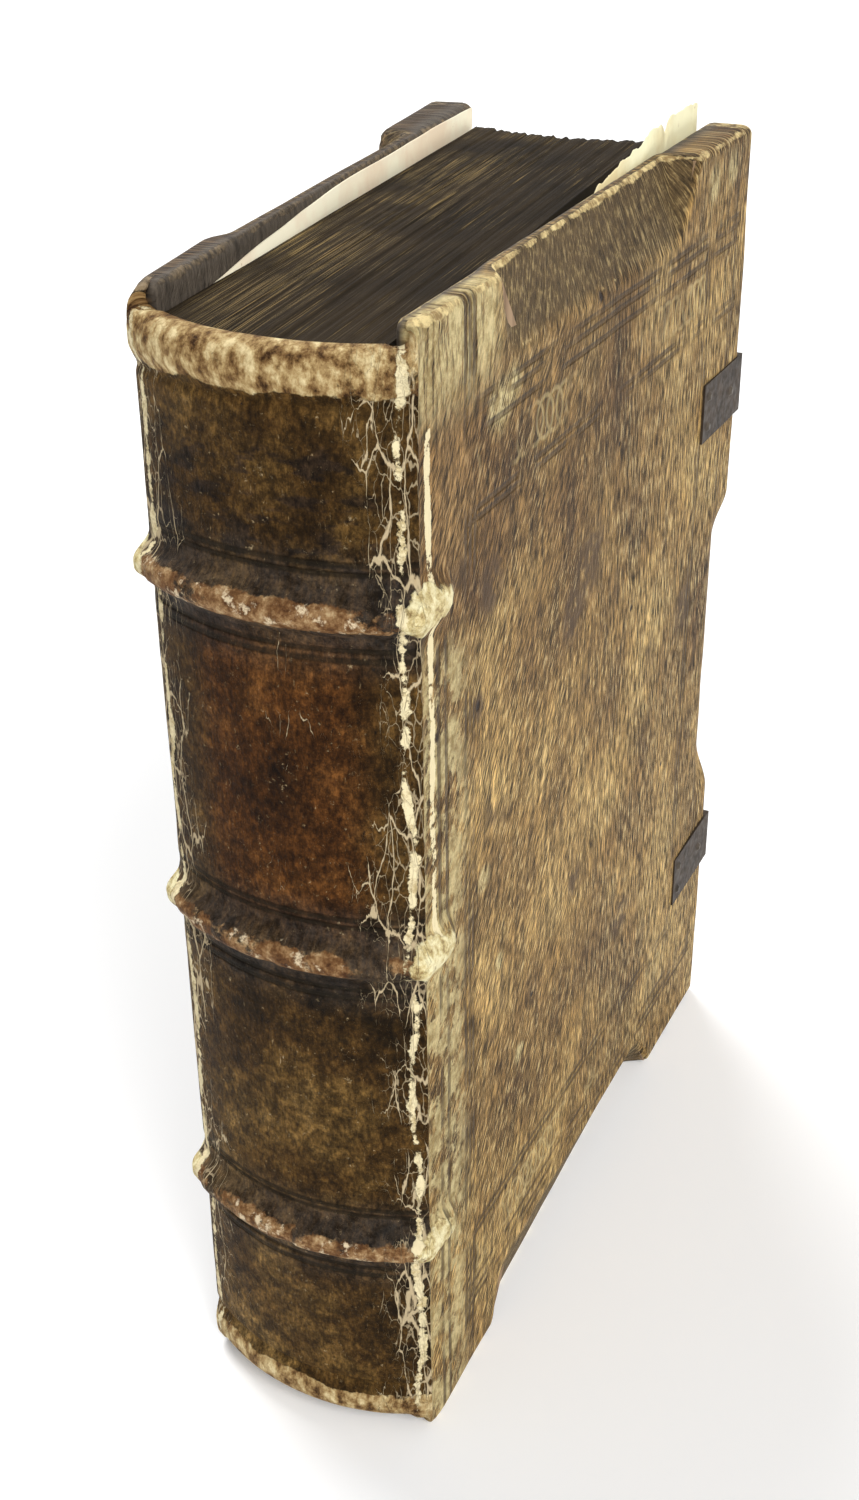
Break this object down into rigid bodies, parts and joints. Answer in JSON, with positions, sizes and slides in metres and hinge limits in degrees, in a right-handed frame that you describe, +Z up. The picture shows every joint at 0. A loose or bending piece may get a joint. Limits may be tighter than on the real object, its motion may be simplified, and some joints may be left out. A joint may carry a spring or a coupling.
{
  "type": "antique leather-bound book",
  "caption": "Thick old book in worn leather over bevelled wooden boards, with raised bands on a rounded spine, hinged covers and dark catch plates at the fore-edge.",
  "frame": {"origin": "middle of the book's base, at the tail edges of the boards", "axes": "+Z up the spine from tail to head, -Y out of the spine, +X towards the front board"},
  "size_m": [0.0818, 0.1676, 0.2199],
  "materials": {
    "paper_edges": "cut edges of old leaves, dark brown with fine golden streaks",
    "leaf_paper": "cream rag paper, matt",
    "spine_leather": "dark worn leather, cracked and flaking at the joints",
    "board_leather": "golden tan leather, blind tooled, rubbed and streaked",
    "board_wood": "plain split hardwood board",
    "peg_wood": "whittled hardwood",
    "cord": "twisted hemp cord",
    "plate_metal": "dark tarnished sheet metal",
    "nail_metal": "dark hand-made nails"
  },
  "bodies": {
    "book_block": {"text_block": "paper_edges", "spine_leather": "spine_leather", "sewing_cord_1": "cord", "sewing_cord_2": "cord", "sewing_cord_3": "cord", "tailband": "cord", "headband": "cord"},
    "front_cover": {"front_board": "board_wood", "front_leather": "board_leather", "front_leaf": "leaf_paper", "front_cord_slips": "cord", "front_pegs": "peg_wood", "catch_plate_lower": "plate_metal", "catch_plate_upper": "plate_metal", "catch_plate_nails": "nail_metal"},
    "back_cover": {"back_board": "board_wood", "back_leather": "board_leather", "back_pastedown": "leaf_paper", "back_cord_slips": "cord", "back_pegs": "peg_wood"}
  },
  "joints": [
    {"name": "front_cover_hinge", "type": "hinge", "parent": "book_block", "child": "front_cover", "pos_m": [0.0392, -0.07329, 0.1075], "axis": [0, 0, -1], "range_deg": [-3, 120]},
    {"name": "back_cover_hinge", "type": "hinge", "parent": "book_block", "child": "back_cover", "pos_m": [-0.00929, -0.07329, 0.1075], "axis": [0, 0, 1], "range_deg": [0, 120]}
  ]
}
